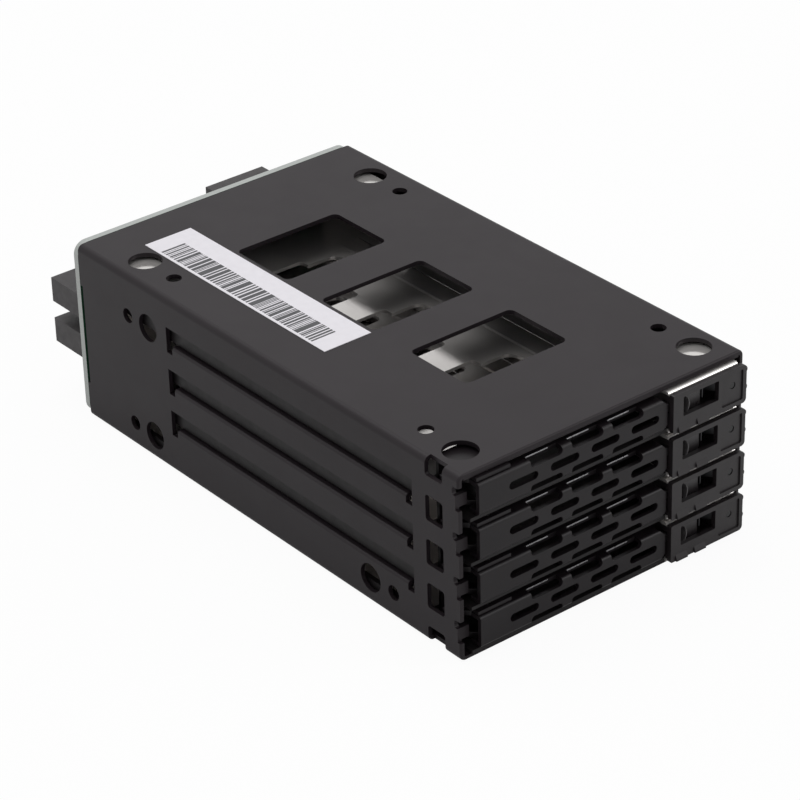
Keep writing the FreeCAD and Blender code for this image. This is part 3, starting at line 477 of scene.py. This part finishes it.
def lever_shape():
    """Cam lever: a folded channel with long holes, notches in both edges, and prongs by its barrel."""
    low, high, right = LEVER_LOW, LEVER_HIGH, LEVER_RIGHT
    inner = LEVER_FACE + LEVER_SHEET
    channel = prism("x", LEVER_LEFT, right,
                    rounded((LEVER_BACK, low), (LEVER_BACK, low + LEVER_SHEET),
                            (inner, low + LEVER_SHEET, 0.2), (inner, high - LEVER_SHEET, 0.2),
                            (LEVER_BACK, high - LEVER_SHEET), (LEVER_BACK, high),
                            (LEVER_FACE, high, 0.75), (LEVER_FACE, low, 0.75)))
    middle = (low + high) / 2
    cutters = []
    for i in range(4):
        start = HOLE_FIRST + HOLE_PITCH * i
        cutters.append(prism("y", -3.0, 0.4, oblong(start, start + HOLE_LENGTH, middle - HOLE_HALF,
                                                    middle + HOLE_HALF, 0.92)))
    for start in NOTCHES:
        for level in (low, high):
            cutters.append(prism("y", -3.0, NOTCH_BACK,
                                 oblong(start, start + NOTCH_LENGTH, level - NOTCH_DEPTH,
                                        level + NOTCH_DEPTH, 0.8)))
    for level, way in ((low, 1), (high, -1)):
        outside = level - 0.5 * way
        inside = level + LEVER_CHAMFER * way
        cutters.append(prism("y", -3.0, 3.0,
                             [(right - LEVER_CHAMFER, outside), (right + 0.5, outside),
                              (right + 0.5, inside + 0.5 * way), (right, inside),
                              (right - LEVER_CHAMFER, level)]))
    channel = carved(channel, *cutters)
    prong = [(6.5, 1.0), (8.85, 2.4), (3.0, 7.3), (1.4, 7.3), (1.4, 5.7)]
    prongs = [prism("z", base, base + 1.2, prong) for base in (1.9, 7.1)]
    barrel = prism("z", low + LEVER_SHEET, high - LEVER_SHEET, disc(*PIVOT, 1.7), disc(*PIVOT, 0.8))
    return joined(channel, barrel, *prongs)


def edge_highlight_shape():
    """A thin bright steel strip on the edge of the lever's upper fold, at the back of each notch: a
    painted highlight along that edge.
    """
    return joined(*[prism("y", 0.5, 0.75, oblong(start + 0.3, start + 6.1, 8.5, 8.78))
                    for start in NOTCHES])


def latch_shape():
    """Latch housing: a raised border round the window and the lamp hole, over a hollow block."""
    left, right, low, high = LATCH_LEFT, LATCH_RIGHT, LATCH_LOW, LATCH_HIGH
    border = prism("y", LATCH_FACE, LATCH_BACK,
                   rounded((left, low, 0.4), (right, low, 1.0), (right, high, 1.0), (left, high, 0.4)),
                   oblong(58.4, 68.4, 3.8, 8.4, 0.3), disc(*LAMP))
    recess = oblong(69.4, right - 1.0, low + 1.0, high - 0.9, 0.4)
    border = carved(border, prism("y", -3.5, LATCH_FACE + 0.35, recess))
    block = prism("y", LATCH_BACK, BLOCK_REAR, oblong(left + 0.1, 74.2, 1.2, 8.9), disc(*LAMP))
    block = carved(block, prism("y", -1.4, 5.2, oblong(57.2, 69.6, 2.8, 8.5)),
                   prism("x", left - 1.0, 58.0, oblong(-1.05, 0.8, 4.9, 7.4)))
    foot = [(-2.9, low), (-2.4, low), (-2.4, low + 1.5), (-2.5, low + 1.5), (-2.9, low + 0.5)]
    feet = [prism("x", start, start + 3.2, foot) for start in (57.0, 62.3)]
    beads = [prism("y", -2.1, LATCH_BACK, disc(right - 0.3, level, 0.9, 14)) for level in (3.8, 8.0)]
    return joined(border, block, *feet, *beads)


def button_shape():
    """Release button: a plate behind the window, and the nose that holds the lever."""
    return joined(prism("y", -0.5, 1.2, oblong(57.45, 65.05, 3.05, 8.2)),
                  prism("y", -0.8, 0.6, oblong(55.3, 57.45, 5.15, 7.15)))


def grip_shape():
    """The button's thin curved grip: a crescent between two arcs, glossier than the button and lighter
    as a painted highlight.
    """
    left, middle, half_height = 59.55, 6.1, 1.75
    grip = []
    for radius, way in ((2.6, 1), (3.4, -1)):
        half = math.asin(half_height / radius)
        angles = [half * (2 * i / 8 - 1) * way for i in range(9)]
        grip += [(left + radius * (math.cos(angle) - math.cos(half)),
                  middle + radius * math.sin(angle))
                 for angle in (angles if way == 1 else angles[1:-1])]
    return prism("y", -2.4, -0.4, grip)


def make_trays():
    """The four trays' pieces. Only the sled, lever, latch housing and button stand for CAD nodes."""
    sled, rails, lever, edges = sled_shape(), rails_shape(), lever_shape(), edge_highlight_shape()
    latch, button, grip = latch_shape(), button_shape(), grip_shape()
    for number in TRAYS:
        tray, arm, push = ("%s_%d" % (body, number) for body in ("tray", "lever", "button"))
        place("sled_sheet", sled, number, "tray_metal", tray, ["sled"])
        place("sled_rails", rails, number, "rail_plastic", tray)
        place("lever_channel", lever, number, "lever_coat", arm, ["lever"], 0.12)
        # a bright steel strip at each notch: painted highlight on the edge of the lever's fold
        place("lever_edge_highlights", edges, number, "pin_steel", arm)
        place("latch_frame", latch, number, "latch_plastic", tray,
              ["latch_housing"], 0.15)
        place("thumb_button", button, number, "button_plastic", push,
              ["release_button"], 0.1)
        place("thumb_grip", grip, number, "grip_highlight_plastic", push, edge=0.15)


def soften(width, *names):
    """Break the sharp edges of nodes, so that they catch the light as bent and moulded edges do."""
    for name in names:
        bevel = nodes[name].modifiers.new("broken_edges", "BEVEL")
        bevel.width = width
        bevel.segments = 2
        bevel.limit_method = "ANGLE"
        bevel.angle_limit = math.radians(50)
        bevel.use_clamp_overlap = True


def soften_all():
    soften(0.00012, "cage_top", "cage_base")
    soften(0.0003, "cage_left_side", "cage_right_side")


# ---- stage ----

def seen_white(tree, shader_socket, camera_share, glossy_share, output):
    """Mix a shader with plain white for the rays that show the background."""
    path = add(tree, "ShaderNodeLightPath")
    white = add(tree, "ShaderNodeEmission", Strength=1.0)

    def scaled(socket, share):
        node = add(tree, "ShaderNodeMath", operation="MULTIPLY")
        node.inputs[1].default_value = share
        tree.links.new(socket, node.inputs[0])
        return node.outputs[0]

    first = add(tree, "ShaderNodeMath", operation="MAXIMUM")
    second = add(tree, "ShaderNodeMath", operation="MAXIMUM")
    tree.links.new(scaled(path.outputs["Is Camera Ray"], camera_share), first.inputs[0])
    tree.links.new(scaled(path.outputs["Is Glossy Ray"], glossy_share), first.inputs[1])
    tree.links.new(first.outputs[0], second.inputs[0])
    tree.links.new(scaled(path.outputs["Is Transmission Ray"], camera_share), second.inputs[1])
    mix = add(tree, "ShaderNodeMixShader")
    tree.links.new(second.outputs[0], mix.inputs[0])
    tree.links.new(shader_socket, mix.inputs[1])
    tree.links.new(white.outputs[0], mix.inputs[2])
    tree.links.new(mix.outputs[0], output)


def make_stage():
    mesh = bpy.data.meshes.new("floor")
    half = 3.0
    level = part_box("cage_base")[0].z - 0.3 * MM
    corners = [(-half, -half, level), (half, -half, level), (half, half, level), (-half, half, level)]
    mesh.from_pydata(corners, [], [(0, 1, 2, 3)])
    floor = bpy.data.objects.new("floor", mesh)
    scene.collection.objects.link(floor)
    material, tree, shader = new_material("floor")
    tree.links.new(ramp(tree, noise(tree, 3.0), (0.3, 0.78), (0.7, 0.8)), shader.inputs["Base Color"])
    shader.inputs["Roughness"].default_value = 0.9
    seen_white(tree, shader.outputs[0], 0.95, 0.12, tree.nodes["Material Output"].inputs["Surface"])
    mesh.materials.append(material)

    world = bpy.data.worlds.new("world")
    scene.world = world
    world.use_nodes = True
    tree = world.node_tree
    background = tree.nodes["Background"]
    background.inputs["Color"].default_value = (1, 1, 1, 1)
    background.inputs["Strength"].default_value = 0.45
    seen_white(tree, background.outputs[0], 1.0, 0.9, tree.nodes["World Output"].inputs["Surface"])


def make_lamp(name, spot, aim, size, power):
    data = bpy.data.lights.new(name, "AREA")
    data.shape = "RECTANGLE"
    data.size, data.size_y = size
    data.energy = power
    lamp = bpy.data.objects.new(name, data)
    lamp.location = spot
    lamp.rotation_euler = (Vector(aim) - Vector(spot)).to_track_quat("-Z", "Y").to_euler()
    scene.collection.objects.link(lamp)


def make_lamps():
    make_lamp("overhead", (-0.1, 0.2, 1.0), (0, 0, 0), (0.9, 0.9), 6.0)
    make_lamp("front_right", (0.7, -0.6, 0.5), (0, 0, 0.02), (0.5, 0.5), 2.0)


scene.view_settings.view_transform = "Standard"
make_camera()
make_finishes()
dress_all()
soften_all()
make_trays()
make_stage()
make_lamps()
